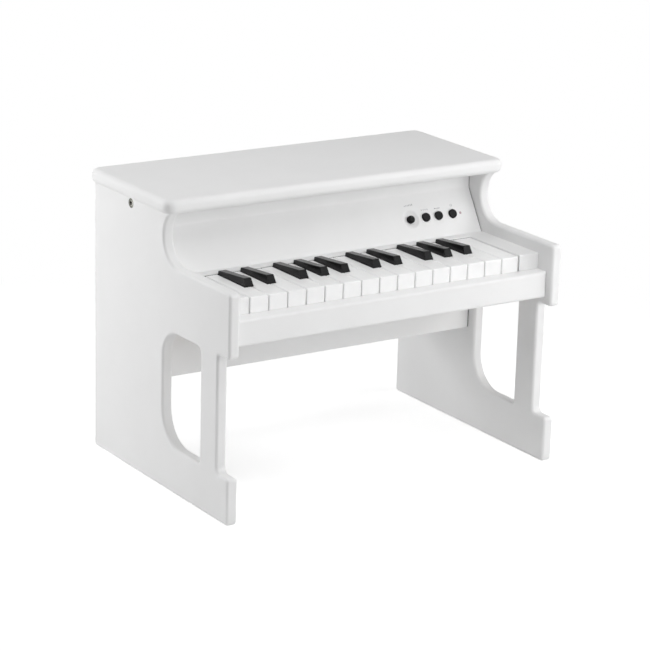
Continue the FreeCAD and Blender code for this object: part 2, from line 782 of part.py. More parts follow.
def white_key(centre, head, tail):
    """Hollow white key: wide head, tail between the black keys, guide ribs, hook, plunger and boss."""
    plan = [(head[0], key_front), (head[1], key_front)]
    if tail[1] < head[1]:
        plan += [(head[1], notch_y), (tail[1], notch_y)]
    plan += [(tail[1], key_back), (tail[0], key_back)]
    if tail[0] > head[0]:
        plan += [(tail[0], notch_y), (head[0], notch_y)]
    points = [Vector(x, y, rim_z) for x, y in plan]
    shell = Part.Face(Part.makePolygon(points + points[:1])).extrude(Vector(0, 0, key_height))
    soft = [edge for edge in shell.Edges
            if edge.BoundBox.ZMin > key_top - 1e-6
            or (edge.BoundBox.ZLength > key_height / 2 and edge.BoundBox.YMax < key_front + 1e-6)]
    shell = shell.makeFillet(key_round, soft)
    ceiling = key_top - key_plate
    head_hollow = block((head[0] + key_wall, head[1] - key_wall),
                        (key_front + key_wall, notch_y - key_wall), (rim_z, ceiling))
    tail_hollow = block((tail[0] + key_wall, tail[1] - key_wall),
                        (notch_y - 2 * key_wall, key_back - key_wall), (rim_z, ceiling))
    arm, arm_hollow, seat, bore = key_tail(centre)
    middle = (head[0] + head[1]) / 2
    rib_inner = post_width / 2 + guide_clearance
    post_front = key_front + post_setback
    ribs = [block(sorted((middle + side * rib_inner, middle + side * (rib_inner + rib_thickness))),
                  (post_front - rib_thickness, post_front + post_depth + rib_thickness), (rim_z, ceiling))
            for side in (-1, 1)]
    key = fused([shell, arm]).cut([head_hollow, tail_hollow, arm_hollow])
    return fused([key, seat] + ribs + key_feet(centre, ceiling, ceiling)).cut(bore)


def black_key(centre):
    """Hollow black key: raked front, top falling to the back, drawn-in flanks, hook, plunger and boss."""
    half = black_width / 2
    foot = notch_y + black_gap
    brow = foot + black_rake
    front_top = key_top + black_front_rise
    fall = (black_front_rise - black_back_rise) / (key_back - brow)

    def top_at(y):
        return front_top - fall * (y - brow)

    def side_view(inset):
        return [(foot + inset, rim_z), (foot + inset, key_top), (brow + inset, front_top - inset),
                (key_back - inset, top_at(key_back) - inset), (key_back - inset, rim_z)]

    draw = math.tan(math.radians(black_draft)) * black_front_rise
    flank = [(-half, rim_z), (-half, key_top), (-half + draw, front_top), (half - draw, front_top),
             (half, key_top), (half, rim_z)]
    section = [Vector(centre + x, foot, z) for x, z in flank]
    tapered = Part.Face(Part.makePolygon(section + section[:1])).extrude(Vector(0, key_back - foot, 0))
    shell = bar_along_x(side_view(0), (centre - half, centre + half)).common(tapered).removeSplitter()
    top_face = max(shell.Faces, key=lambda face: face.CenterOfMass.z)
    shell = shell.makeFillet(black_round, top_face.Edges)
    core = half - draw - key_wall
    hollow = bar_along_x(side_view(key_plate), (centre - core, centre + core))
    skirt = block((centre - half + key_wall, centre + half - key_wall),
                  (foot + key_plate, key_back - key_plate), (rim_z, key_top - key_wall))
    arm, arm_hollow, seat, bore = key_tail(centre)
    key = fused([shell, arm]).cut([hollow, skirt, arm_hollow])
    hook_ceiling = top_at(toe_front) - key_plate / 2
    plunger_ceiling = top_at(contact_middle + plunger_size / 2) - key_plate / 2
    return fused([key, seat] + key_feet(centre, hook_ceiling, plunger_ceiling)).cut(bore)


def lug_places(slots):
    """X of the lugs that hold the rod: at both ends and in some of the gaps between key tails."""
    inner = [(slots[i - 1][1] + slots[i][1]) / 2 for i in range(keys_per_lug, len(slots), keys_per_lug)]
    end = frame_half - lug_thickness / 2
    return [-end] + inner + [end]


def frame_screws():
    """Seats of the screws that hold the key frame on the keybed."""
    y = notch_y - pan_radius - screw_inset
    return both_sides([Vector(x, y, floor_top) for x in (key_pitch, keyboard_half - key_pitch)])


def comb_screws(slots):
    """Seats of the screws that hold the spring comb on its ledge."""
    y = (ledge_front + ledge_back) / 2
    after = range(keys_per_lug // 2, len(slots), 2 * keys_per_lug)
    gaps = [(slots[i - 1][1] + slots[i][1]) / 2 for i in after]
    return [Vector(x, y, ledge_top + spring_thickness) for x in gaps]


def key_frame(slots):
    """Moulded frame: floor, stop rails, guide posts, board ribs, rod lugs and spring ledge."""
    x = (-frame_half, frame_half)
    pieces = [block(x, (frame_front, frame_back), (keybed_top, floor_top)),
              block(x, (stop_front - stop_rail_margin, stop_back + stop_rail_margin),
                    (floor_top, stop_top - felt_thickness)),
              bar_along_x([(rail_front, floor_top), (rail_back, floor_top), (rail_back, lip_top),
                           (lip_front, lip_top), (lip_front, lip_bottom), (rail_front, lip_bottom)], x),
              block(x, (contact_front, contact_front + contact_rib), (floor_top, contact_bottom)),
              block(x, (contact_back - contact_rib, contact_back), (floor_top, contact_bottom)),
              block(x, (ledge_front, ledge_back), (floor_top, ledge_top))]
    post_top = key_top - post_drop
    post_front = key_front + post_setback
    black_post_front = stop_back + stop_rail_margin + guide_clearance
    black_half = black_width / 2 - key_wall - guide_clearance
    for colour, centre, head, tail in slots:
        if colour == "white":
            middle = (head[0] + head[1]) / 2
            pieces.append(block((middle - post_width / 2, middle + post_width / 2),
                                (post_front, post_front + post_depth), (floor_top, post_top)))
        else:
            pieces.append(block((centre - black_half, centre + black_half),
                                (black_post_front, black_post_front + black_post_depth),
                                (floor_top, post_top)))
    holes = [pan_hole(seat, up) for seat in frame_screws() + comb_screws(slots)]
    for lug_x in lug_places(slots):
        span = (lug_x - lug_thickness / 2, lug_x + lug_thickness / 2)
        half = lug_depth / 2
        foot = [(pivot_y - half, floor_top), (pivot_y + half, floor_top), (pivot_y + lug_eye, pivot_z),
                (pivot_y - lug_eye, pivot_z)]
        pieces.append(bar_along_x(foot, span))
        ends = Vector(span[0], pivot_y, pivot_z), Vector(span[1], pivot_y, pivot_z)
        pieces.append(rod(lug_eye, *ends))
        holes.append(rod(rod_radius + rod_clearance, *ends))
    return fused(pieces).cut(holes)


def keyboard_bezel():
    """White moulding: a hollow cheek on each side of the keys and a bridge across behind them."""
    back_edge = bridge_back
    cheeks = [block(x, (key_front, back_edge), (keybed_top, bezel_top))
              for x in ((-inner_half, -well_half), (well_half, inner_half))]
    bridge = block((-inner_half, inner_half), (bridge_front, back_edge), (tail_top + bridge_gap, bezel_top))
    bezel = fused(cheeks + [bridge])
    soft = [edge for edge in bezel.Edges
            if edge.BoundBox.ZMin > bezel_top - 1e-6 and edge.BoundBox.YMin < back_edge - 1e-6
            and abs(abs(edge.CenterOfMass.x) - inner_half) > 1e-6]
    bezel = bezel.makeFillet(bezel_round, soft)
    hollows = [block((well_half + bezel_wall, inner_half - bezel_wall),
                     (key_front + bezel_wall + bezel_round, back_edge - bezel_wall),
                     (keybed_top, bezel_top - bezel_wall - bezel_round))]
    hollows.append(mirrored(hollows[0]))
    return bezel.cut(hollows)


def spring_comb(slots):
    """Thin steel comb: one finger under each key, rising from the ledge to the key's spring rib."""
    first = slots[0][1] - finger_width / 2
    last = slots[-1][1] + finger_width / 2
    root = ledge_front + finger_width
    tip_z = seat_z - stop_clearance - spring_thickness
    strip = block((first, last), (root, ledge_back), (ledge_top, ledge_top + spring_thickness))
    tip_y = seat_y - finger_width / 2
    line = [(root, ledge_top), (ledge_front, ledge_top), (seat_y, tip_z), (tip_y, tip_z)]
    outline = line + [(y, z + spring_thickness) for y, z in reversed(line)]
    half = finger_width / 2
    fingers = [bar_along_x(outline, (slot[1] - half, slot[1] + half)) for slot in slots]
    return fused([strip] + fingers).cut([pan_hole(seat, up) for seat in comb_screws(slots)])


def contact_board():
    """Circuit board on the frame's ribs."""
    return block((-frame_half + dome_end, frame_half - dome_end), (contact_front, contact_back),
                 (contact_bottom, contact_top))


def contact_strip(slots):
    """Silicone strip on the contact board with a dome under each key's plunger."""
    half = strip_depth / 2
    end = dome_radius + dome_end / 2
    base = block((slots[0][1] - end, slots[-1][1] + end), (contact_middle - half, contact_middle + half),
                 (contact_top, strip_top))
    places = [Vector(slot[1], contact_middle, strip_top) for slot in slots]
    domes = [Part.makeCone(dome_radius, dome_top_radius, dome_height, place) for place in places]
    return fused([base] + domes)


def stop_felts():
    """Felt strip under the keys on the stop rail, and a thin one under the lip for the hooks."""
    x = (-frame_half, frame_half)
    down = block(x, (stop_front, stop_back), (stop_top - felt_thickness, stop_top))
    under_lip = block(x, (lip_front, rail_front), (lip_bottom - up_felt_thickness, lip_bottom))
    return [down, under_lip]


def speaker_screws():
    """Seats of the screws through the speaker's flange."""
    angles = [math.radians(45 + 90 * i) for i in range(4)]
    return [speaker_at + Vector(speaker_screw_circle * math.cos(a), -speaker_flange,
                                speaker_screw_circle * math.sin(a)) for a in angles]


def speaker_frame():
    """Flange, basket and magnet of the loudspeaker."""
    magnet_front = speaker_depth - magnet_depth
    outline = [(speaker_hole, 0), (speaker_radius, 0), (speaker_radius, speaker_flange),
               (speaker_hole + basket_wall, speaker_flange), (magnet_radius, magnet_front),
               (magnet_radius, speaker_depth), (0, speaker_depth), (0, magnet_front + basket_wall),
               (magnet_radius - basket_wall, magnet_front), (speaker_hole, speaker_flange)]
    frame = turned(outline, speaker_at, -rearwards)
    return frame.cut([pan_hole(seat, -rearwards) for seat in speaker_screws()])


def speaker_cone():
    """Paper cone with its surround and dust cap."""
    rim = speaker_hole - cone_gap
    roll = rim - surround_width
    throat = speaker_depth - magnet_depth - throat_gap
    cap = throat - dust_cap_rise
    line = [(0, cap), (dust_cap_radius, throat), (roll, cone_gap), (rim, cone_gap)]
    outline = line + [(radius, depth + cone_wall) for radius, depth in reversed(line)]
    return turned(outline, speaker_at, -rearwards)


def battery_screws():
    """Seats of the two screws that lock the battery cover."""
    x = tray_inner_x + tray_end_wall / 2
    return [Vector(tray_x + side * x, tray_y, case_floor) for side in (-1, 1)]


def battery_box():
    """Open-bottomed tray that hangs by its flange in the bottom board."""
    top = tray_inner_top + tray_wall
    shell = around_tray(tray_x_half, tray_y_half, (cover_top, top))
    flange = around_tray(tray_x_half + tray_flange, tray_y_half + tray_flange,
                         (bottom_top, bottom_top + tray_wall))
    inside = around_tray(tray_inner_x, tray_inner_y, (cover_top, tray_inner_top))
    return fused([shell, flange]).cut([inside] + [pan_hole(seat, -up) for seat in battery_screws()])


def battery_cells():
    """Six cells in three rows of two."""
    outline = [(0, 0), (cell_radius, 0), (cell_radius, cell_length - cell_nub),
               (cell_nub_radius, cell_length - cell_nub), (cell_nub_radius, cell_length), (0, cell_length)]
    spacing = 2 * (cell_radius + cell_gap)
    return [turned(outline, Vector(tray_x + start, tray_y + row * spacing, cell_z), Vector(1, 0, 0))
            for row in (-1, 0, 1) for start in (-cell_length - cell_gap, cell_gap)]


def battery_cover():
    """Plate that closes the battery box, flush with the bottom board."""
    plate = around_tray(tray_x_half, tray_y_half, (case_floor, cover_top))
    return plate.cut([pan_hole(seat, -up) for seat in battery_screws()])


def jack_shell(x):
    """Block behind the back panel with a bushing through it and a nut outside."""
    half = jack_body / 2
    centre = Vector(x, back_inner, socket_z)
    body = block((x - half, x + half), (back_inner - jack_depth, back_inner),
                 (socket_z - half, socket_z + half))
    mouth = Vector(x, back + jack_nut, socket_z)
    return fused([body, rod(jack_bush_radius, centre, mouth),
                  rod(jack_nut_radius, Vector(x, back, socket_z), mouth)])


def headphone_jack():
    """Small round socket for a headphone plug."""
    mouth = Vector(headphone_x, back + jack_nut, socket_z)
    return jack_shell(headphone_x).cut(rod(jack_bore, mouth - rearwards * jack_bore_depth, mouth))


def dc_jack():
    """Round power socket with a centre pin."""
    mouth = Vector(dc_x, back + jack_nut, socket_z)
    bottom = mouth - rearwards * dc_bore_depth
    shell = jack_shell(dc_x).cut(rod(dc_bore, bottom, mouth))
    return fused([shell, rod(dc_pin, bottom, mouth - rearwards * dc_pin)])


os.makedirs("parts", exist_ok=True)

# Cabinet
right_side = side_panel()
save("right_side_panel", right_side)
save("left_side_panel", mirrored(right_side))
save("top_lid", top_lid())
save("side_bolts", [side_bolt(), mirrored(side_bolt())])
save("cabinet_cleats", cabinet_cleats())
save("key_slip", key_slip())
save("keybed", keybed())
save("knee_board", knee_board())
save("bottom_board", bottom_board())
save("back_panel", back_panel())
wood_seats = ((back_screws, rearwards), (keybed_screws, up), (bottom_screws, -up), (lid_screws(), -up))
save("wood_screws", [wood_screw(seat, axis) for seats, axis in wood_seats for seat in seats])

# Controls
save("front_panel", front_panel())
save("main_board", main_board())
save("volume_pot", volume_pot())
save("volume_knob", volume_knob())
for button_name, button_x in (("tone_button", tone_x), ("demo_button", demo_x), ("power_button", power_x)):
    save(button_name, push_button(button_x))
save("button_pad", button_pad())
save("power_lamp", power_lamp())

# Keyboard
slots = key_slots()
save("keyboard_bezel", keyboard_bezel())
save("key_frame", key_frame(slots))
rod_ends = Vector(-frame_half, pivot_y, pivot_z), Vector(frame_half, pivot_y, pivot_z)
save("key_pivot_rod", rod(rod_radius, *rod_ends))
save("key_spring_comb", spring_comb(slots))
save("contact_board", contact_board())
save("contact_strip", contact_strip(slots))
save("stop_felts", stop_felts())
counts = {"white": 0, "black": 0}
for colour, centre, head, tail in slots:
    counts[colour] += 1
    key = white_key(centre, head, tail) if colour == "white" else black_key(centre)
    save("%s_key_%02d" % (colour, counts[colour]), key)

# Sound, power and sockets
save("speaker_frame", speaker_frame())
save("speaker_cone", speaker_cone())
save("battery_box", battery_box())
save("battery_cells", battery_cells())
save("battery_cover", battery_cover())
save("headphone_jack", headphone_jack())
save("dc_jack", dc_jack())
pan_seats = ((frame_screws(), up), (comb_screws(slots), up), (main_screws(), -panel_out),
             (speaker_screws(), -rearwards), (battery_screws(), -up))
save("pan_screws", [pan_screw(seat, axis) for seats, axis in pan_seats for seat in seats])
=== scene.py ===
"""Looks of a white toy upright piano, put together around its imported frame.

Sizes of pieces and finishes are millimetres, made metres by mm. The camera and the studio are in metres.
"""
import json
import math

import bpy
import numpy as np
from mathutils import Matrix, Vector


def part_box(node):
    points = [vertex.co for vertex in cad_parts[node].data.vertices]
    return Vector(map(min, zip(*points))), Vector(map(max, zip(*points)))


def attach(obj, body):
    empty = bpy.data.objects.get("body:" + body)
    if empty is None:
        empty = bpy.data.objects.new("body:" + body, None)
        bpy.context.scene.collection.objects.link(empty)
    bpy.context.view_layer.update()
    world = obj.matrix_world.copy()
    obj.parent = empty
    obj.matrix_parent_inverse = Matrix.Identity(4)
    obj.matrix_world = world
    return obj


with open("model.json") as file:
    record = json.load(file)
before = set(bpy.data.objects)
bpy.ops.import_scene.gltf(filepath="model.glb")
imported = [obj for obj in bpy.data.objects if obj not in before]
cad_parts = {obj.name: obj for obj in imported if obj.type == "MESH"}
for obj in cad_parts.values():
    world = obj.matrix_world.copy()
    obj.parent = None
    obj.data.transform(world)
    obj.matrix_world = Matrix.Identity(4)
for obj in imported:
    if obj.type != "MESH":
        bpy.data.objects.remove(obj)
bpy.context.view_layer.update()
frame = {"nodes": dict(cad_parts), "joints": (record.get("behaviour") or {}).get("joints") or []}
nodes = frame["nodes"]


# Cabinet boards
# The side panels, lid, slip, keybed, knee board, bottom and control panel are cut from smooth board,
# routed round along their edges, primed and sprayed with white satin lacquer, then glued and screwed.
mm = 0.001


def linear(colour):
    """Turn an sRGB hex colour into linear red, green, blue and a full alpha."""
    srgb = np.array([int(colour[i:i + 2], 16) for i in (1, 3, 5)]) / 255
    rgb = np.where(srgb <= 0.04045, srgb / 12.92, ((srgb + 0.055) / 1.055) ** 2.4)
    return (*rgb.tolist(), 1.0)


def add(tree, kind, settings=None, links=None):
    """Add a node, set its properties and input values by name, and feed its inputs from sockets."""
    node = tree.nodes.new("ShaderNode" + kind)
    for name, value in (settings or {}).items():
        if isinstance(name, int) or name in node.inputs:
            node.inputs[name].default_value = value
        else:
            setattr(node, name, value)
    for name, socket in (links or {}).items():
        tree.links.new(socket, node.inputs[name])
    return node


def blank(name):
    """Start a material: the material, its empty tree and its object coordinates."""
    material = bpy.data.materials.new(name)
    material.use_nodes = True
    tree = material.node_tree
    tree.nodes.clear()
    return material, tree, add(tree, "TexCoord").outputs["Object"]


def clouded(name, lump, colours, roughness, relief=0.0, octaves=2.0, settings=None):
    """Whole finish whose colour, gloss and height wander together over soft lumps.

    Noise with lumps of the given size blends two colours, runs the roughness between two values
    and raises the surface by the relief. Each octave adds lumps of half the size.
    """
    material, tree, place = blank(name)
    noise = add(tree, "TexNoise", {"Scale": 1 / (lump * mm), "Detail": octaves}, {"Vector": place})
    usual_low, usual_high = 0.3, 0.7
    blend = add(tree, "MapRange", {"From Min": usual_low, "From Max": usual_high},
                {"Value": noise.outputs["Fac"]})
    colour = add(tree, "Mix", {"data_type": "RGBA", 6: linear(colours[0]), 7: linear(colours[1])},
                 {"Factor": blend.outputs["Result"]})
    gloss = add(tree, "MapRange", {"To Min": roughness[0], "To Max": roughness[1]},
                {"Value": blend.outputs["Result"]})
    surface = add(tree, "BsdfPrincipled", settings,
                  {"Base Color": colour.outputs[2], "Roughness": gloss.outputs["Result"]})
    if relief:
        bump = add(tree, "Bump", {"Distance": relief * mm}, {"Height": noise.outputs["Fac"]})
        tree.links.new(bump.outputs["Normal"], surface.inputs["Normal"])
    add(tree, "OutputMaterial", links={"Surface": surface.outputs[0]})
    return material


def dress(material, *names):
    """Give nodes of the frame a material."""
    for name in names:
        nodes[name].data.materials.clear()
        nodes[name].data.materials.append(material)


# Polyurethane lacquer, sprayed over primed board: a clean white satin film. Its tone wanders faintly over
# patches of 60 mm, as a spray pattern does, down to an orange peel of about 3 mm that blurs reflections.
lacquer = clouded("satin_lacquer", 60.0, ("#ECECEC", "#EFEFEF"), (0.54, 0.64), relief=0.25, octaves=4.5,
                  settings={"IOR": 1.5, "Specular IOR Level": 0.35})
dress(lacquer, "left_side_panel", "right_side_panel", "top_lid", "key_slip", "keybed", "knee_board",
      "bottom_board", "front_panel")


# Back panel
# Thin hardboard, painted white on its smooth outer face and screwed to battens.
# Slots let the speaker's sound out.

# Painted hardboard: flatter than the lacquer, with the board's pressed felt still showing a little.
hardboard = clouded("painted_hardboard", 1.5, ("#E3E3E1", "#EBEAE7"), (0.50, 0.62), relief=0.03,
                    octaves=6.0, settings={"IOR": 1.47})
dress(hardboard, "back_panel")


# Battens
# Square sticks of planed pine in the corners of the cabinet, left bare because they hardly show.

# Pine, planed: rings about 7.5 mm apart drawn out along the stick, darker where the summer wood was cut.
# The wave repeats every pi / 10 of its own unit.
pine, tree, place = blank("planed_pine")
ring_gap = 7.54 * mm
pore = 0.8 * mm
pore_depth = 0.03 * mm
drawn_out = (1.0, 0.08, 0.35)
drawn = add(tree, "Mapping", {"Scale": drawn_out}, {"Vector": place})
rings = add(tree, "TexWave", {"Scale": math.pi / 10 / ring_gap, "Distortion": 6.0, "Detail": 3.0},
            {"Vector": drawn.outputs["Vector"]})
wood = add(tree, "Mix", {"data_type": "RGBA", 6: linear("#E2C496"), 7: linear("#C99F68")},
           {"Factor": rings.outputs["Fac"]})
pores = add(tree, "TexNoise", {"Scale": 1 / pore}, {"Vector": drawn.outputs["Vector"]})
bump = add(tree, "Bump", {"Distance": pore_depth}, {"Height": pores.outputs["Fac"]})
surface = add(tree, "BsdfPrincipled", {"IOR": 1.5, "Roughness": 0.6},
              {"Base Color": wood.outputs[2], "Normal": bump.outputs["Normal"]})
add(tree, "OutputMaterial", links={"Surface": surface.outputs[0]})
dress(pine, "cabinet_cleats")


# Bolts and screws
# Plated socket bolts hold the lid from the sides. Zinc-plated screws hold the boards and the works,
# and those whose heads show carry a flat dark cross, painted shade where the driver's cross recess would
# be.

# Nickel plate, barrel-finished: a greyed head, with a painted highlight on the socket's walls, painted
# shade on the socket's floor and painted shade along the head's back edge.
nickel, tree, place = blank("nickel_plate")
floor_radius, wall_radius = 1.9 * mm, 2.4 * mm
glint_outer_radius, greyed_radius = 2.5 * mm, 3.0 * mm
back_shade_start, back_shade_full = 4.0 * mm, 5.2 * mm
painted_light_shift = Vector((0.0, 0.3 * mm, 0.0))
tumble_mark = 0.7 * mm
low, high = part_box("side_bolts")
# The painted light is centred 0.3 mm towards the front, so the painted shade reaches further over the
# head's back edge.
painted_light_centre = (low + high) / 2 - painted_light_shift
from_light_centre = add(tree, "VectorMath", {"operation": "SUBTRACT", 1: painted_light_centre}, {0: place})
across = add(tree, "VectorMath", {"operation": "MULTIPLY", 1: (0, 1, 1)}, {0: from_light_centre.outputs[0]})
radius = add(tree, "VectorMath", {"operation": "LENGTH"}, {0: across.outputs[0]})
glint_fade = add(tree, "MapRange", {"From Min": glint_outer_radius, "From Max": greyed_radius},
           {"Value": radius.outputs["Value"]})
back_shade = add(tree, "MapRange", {"From Min": back_shade_start, "From Max": back_shade_full},
           {"Value": radius.outputs["Value"]})
# Painted shade on the socket's floor, a painted highlight on its walls, fading out into the head's grey
# ring.
glint_walls = add(tree, "MapRange", {"From Min": floor_radius, "From Max": wall_radius},
            {"Value": radius.outputs["Value"]})
socket = add(tree, "Mix", {"data_type": "RGBA", 6: linear("#3F3F3A"), 7: linear("#F0F0EA")},
             {"Factor": glint_walls.outputs["Result"]})
greyed = add(tree, "Mix", {"data_type": "RGBA", 7: linear("#5C5C54")},
             {"Factor": glint_fade.outputs["Result"], 6: socket.outputs[2]})
plate = add(tree, "Mix", {"data_type": "RGBA", 7: linear("#32322E")},
            {"Factor": back_shade.outputs["Result"], 6: greyed.outputs[2]})
tumble = add(tree, "TexNoise", {"Scale": 1 / tumble_mark}, {"Vector": place})
gloss = add(tree, "MapRange", {"To Min": 0.2, "To Max": 0.4}, {"Value": tumble.outputs["Fac"]})
surface = add(tree, "BsdfPrincipled", {"Metallic": 1.0},
              {"Base Color": plate.outputs[2], "Roughness": gloss.outputs["Result"]})
add(tree, "OutputMaterial", links={"Surface": surface.outputs[0]})
dress(nickel, "side_bolts")

# Zinc plate: bright, slightly cloudy metal.
zinc = clouded("zinc_plate", 1.2, ("#C9CBCE", "#DCDDDE"), (0.22, 0.38), settings={"Metallic": 1.0})
dress(zinc, "wood_screws", "pan_screws", "key_pivot_rod", "key_spring_comb", "volume_pot")


def bar(path, across, out, width, height):
    """Low bar with a rectangular section, carried along a path of n points.

    The four corners at point p are p - across w/2, p + across w/2, and the same two moved by out h.
    Sides join each corner to the same corner of the next section, and a face closes each end. Across is
    turned round where the cross product of the path's first step and across points away from out, so
    that every face points outwards.
    """
    path, across, width = np.atleast_2d(path), np.atleast_2d(across), np.atleast_1d(width)[:, None]
    across = across * np.sign(np.cross(path[1] - path[0], across[0]) @ out)
    left = path - across * width / 2
    right = path + across * width / 2
    lift = np.asarray(out) * height
    points = np.stack(np.broadcast_arrays(left, right, right + lift, left + lift), 1)
    count = len(points)
    ring = np.arange(4)
    start = 4 * np.arange(count - 1)[:, None]
    this_corner, next_corner = start + ring, start + (ring + 1) % 4
    sides = np.stack((this_corner, next_corner, next_corner + 4, this_corner + 4), -1)
    ends = np.array((ring[::-1], ring + 4 * (count - 1)))
    return points.reshape(-1, 3), np.concatenate((sides.reshape(-1, 4), ends))


def new_piece(name, parts, material, body):
    """Join parts, each of points and faces, into one mesh that rides on a body."""
    starts = np.cumsum([0] + [len(points) for points, _ in parts])
    points = np.concatenate([points for points, _ in parts])
    faces = np.concatenate([faces + start for (_, faces), start in zip(parts, starts)])
    mesh = bpy.data.meshes.new(name)
    mesh.from_pydata(points.tolist(), [], faces.tolist())
    mesh.materials.append(material)
    piece = bpy.data.objects.new(name, mesh)
    bpy.context.scene.collection.objects.link(piece)
    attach(piece, body)


def corners_of(name):
    """Corners of a node's mesh, one row each."""
    vertices = nodes[name].data.vertices
    corners = np.zeros(3 * len(vertices), np.float32)
    vertices.foreach_get("co", corners)
    return corners.reshape(-1, 3).astype(float)


def outermost_heads(name, axis, sign):
    """Centres of the screw heads that lie furthest out along an axis.

    The corners on the outermost plane are grouped with the first corner within a head's width of them,
    and each group's middle is halfway between its lowest and highest corner.
    """
    head_width = 8.0 * mm
    plane_slack = 0.01 * mm
    corners = corners_of(name)
    reach = sign * corners[:, axis]
    top = corners[reach > reach.max() - plane_slack]
    owner = (np.linalg.norm(top[:, None] - top, axis=2) < head_width).argmax(1)
    return np.array([(top[owner == i].min(0) + top[owner == i].max(0)) / 2 for i in np.unique(owner)])


# Painted shade for the cross recesses: dark, slightly smeared metal standing for the shadow at the foot of
# a recess.
painted_recess_shade = clouded("painted_recess_shade", 0.6, ("#2B2B2C", "#3C3C3D"), (0.45, 0.6), settings={"Metallic": 1.0})
recess_span = 3.4 * mm
recess_slot = 0.7 * mm
recess_film = 0.04 * mm
axes = np.eye(3)
# Each visible screw head gets a flat dark cross just proud of it: painted shade, not a cut recess.
shade_crosses = []
for name, axis, sign in (("wood_screws", 1, 1), ("wood_screws", 2, -1), ("pan_screws", 2, -1)):
    out = sign * axes[axis]
    for centre in outermost_heads(name, axis, sign):
        for along in (axes[(axis + 1) % 3], axes[(axis + 2) % 3]):
            ends = centre + np.outer((-0.5, 0.5), along) * recess_span
            shade_crosses.append(bar(ends, np.cross(out, along), out, recess_slot, recess_film))
new_piece("painted_screw_recess_shade", shade_crosses, painted_recess_shade, "cabinet")


# Key action
# A grey moulded frame, felt stops, silicone contacts on green circuit board: all of it under the keys.

# ABS, moulded grey, with the fine texture of a sparked mould.
grey_abs = clouded("grey_abs", 0.5, ("#8E8F92", "#98999B"), (0.45, 0.55), relief=0.01,
                   settings={"IOR": 1.53})
dress(grey_abs, "key_frame", "battery_box", "battery_cover")

# Pressed wool felt: dull red, furry and uneven.
felt = clouded("wool_felt", 0.6, ("#6E1D20", "#8C3033"), (0.92, 0.98), relief=0.2, octaves=8.0,
               settings={"Sheen Weight": 0.4})
dress(felt, "stop_felts")

# Silicone rubber: milky grey and dull, with a little dust on it.
silicone = clouded("silicone_rubber", 2.0, ("#A9AAAC", "#B8B9BA"), (0.55, 0.65), settings={"IOR": 1.41})
dress(silicone, "contact_strip", "button_pad")

# Solder mask on glass fibre: deep green with the weave of the cloth under it, 1 mm a thread.
mask, tree, place = blank("solder_mask")
thread = 1.0 * mm
threads = add(tree, "TexChecker", {"Scale": 1 / thread, "Color1": linear("#1F6B3A"),
                                   "Color2": linear("#1B5F33")}, {"Vector": place})
surface = add(tree, "BsdfPrincipled", {"IOR": 1.55, "Roughness": 0.3},
              {"Base Color": threads.outputs["Color"]})
add(tree, "OutputMaterial", links={"Surface": surface.outputs[0]})
dress(mask, "contact_board", "main_board")


# Keyboard bezel
# One white moulding: hollow cheeks beside the keys and a bridge across behind them.

# ABS, moulded white, satin from a fine sparked mould.
white_abs = clouded("white_abs", 0.8, ("#EDEDED", "#F0F0F0"), (0.40, 0.50), relief=0.005,
                    settings={"IOR": 1.53})
dress(white_abs, "keyboard_bezel")


# White keys
# Hollow mouldings in polished white plastic, each on the rod by the boss in its tail.

# ABS from a polished mould: glossy, with a faint haze where fingers rub it, some 9 mm across.
white_names = [name for name in sorted(nodes) if name.startswith("white_key_")]
key_white = clouded("polished_white_abs", 9.0, ("#F6F6F6", "#F9F9F9"), (0.30, 0.38), octaves=3.0,
                    settings={"IOR": 1.53})
dress(key_white, *white_names)


# Black keys
# Hollow mouldings in black plastic, raked at the front, with a fine satin top.

# ABS, moulded black: the satin top greys a little under the studio light, the sides stay black.
black_names = [name for name in sorted(nodes) if name.startswith("black_key_")]
key_black = clouded("satin_black_abs", 0.7, ("#070708", "#0C0C0D"), (0.20, 0.27), relief=0.003,
                    settings={"IOR": 1.53, "Specular IOR Level": 0.22})
dress(key_black, *black_names)


# Knob, buttons and lamp
# Black caps: the knob turns in a finger dish, the buttons spring on the silicone pad behind the panel.
# The lamp is a small moulded lens.

# ABS, moulded black and dull, with the fine texture of a sparked mould.
button_black = clouded("black_abs", 0.5, ("#060607", "#0B0B0C"), (0.35, 0.45), relief=0.005,
                       settings={"IOR": 1.53, "Specular IOR Level": 0.15})
dress(button_black, "volume_knob", "tone_button", "demo_button", "power_button", "headphone_jack",
      "dc_jack")

# Acrylic, dyed a faint red and milky: a pale dusty pink while unlit, paler where light gathers in it.
red_acrylic = clouded("red_acrylic", 1.0, ("#DFC3C8", "#E6D0D4"), (0.12, 0.20),
                      settings={"IOR": 1.49, "Transmission Weight": 0.3})
dress(red_acrylic, "power_lamp")


# Knob pointer
# A fine line of grey paint in the crown of the knob, from near its middle over its rounded rim.
# It stands on the knob and turns with it.
turn = next(joint for joint in frame["joints"] if joint["name"] == "volume_turn")
knob_at = np.array(turn["pos_m"])
panel_out = np.array(turn["axis"])
right = np.array((1.0, 0.0, 0.0))
up_slope = np.cross(panel_out, right)
knob_low, knob_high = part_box("volume_knob")
knob_radius = (knob_high.x - knob_low.x) / 2
crown_round = 2.0 * mm
pointer_start, pointer_end, pointer_points = 0.2, 0.92, 16
pointer_width = 0.55 * mm
paint_film = 0.04 * mm

# Height of the crown over the panel: the knob mesh's furthest point along the panel's outward direction.
crown = ((corners_of("volume_knob") - knob_at) @ panel_out).max()
reach = np.linspace(pointer_start, pointer_end, pointer_points) * knob_radius
over_rim = np.clip(reach - (knob_radius - crown_round), 0.0, None)
height = crown - crown_round + np.sqrt(crown_round ** 2 - over_rim ** 2)
pointer_path = knob_at + np.outer(reach, up_slope) + np.outer(height, panel_out)

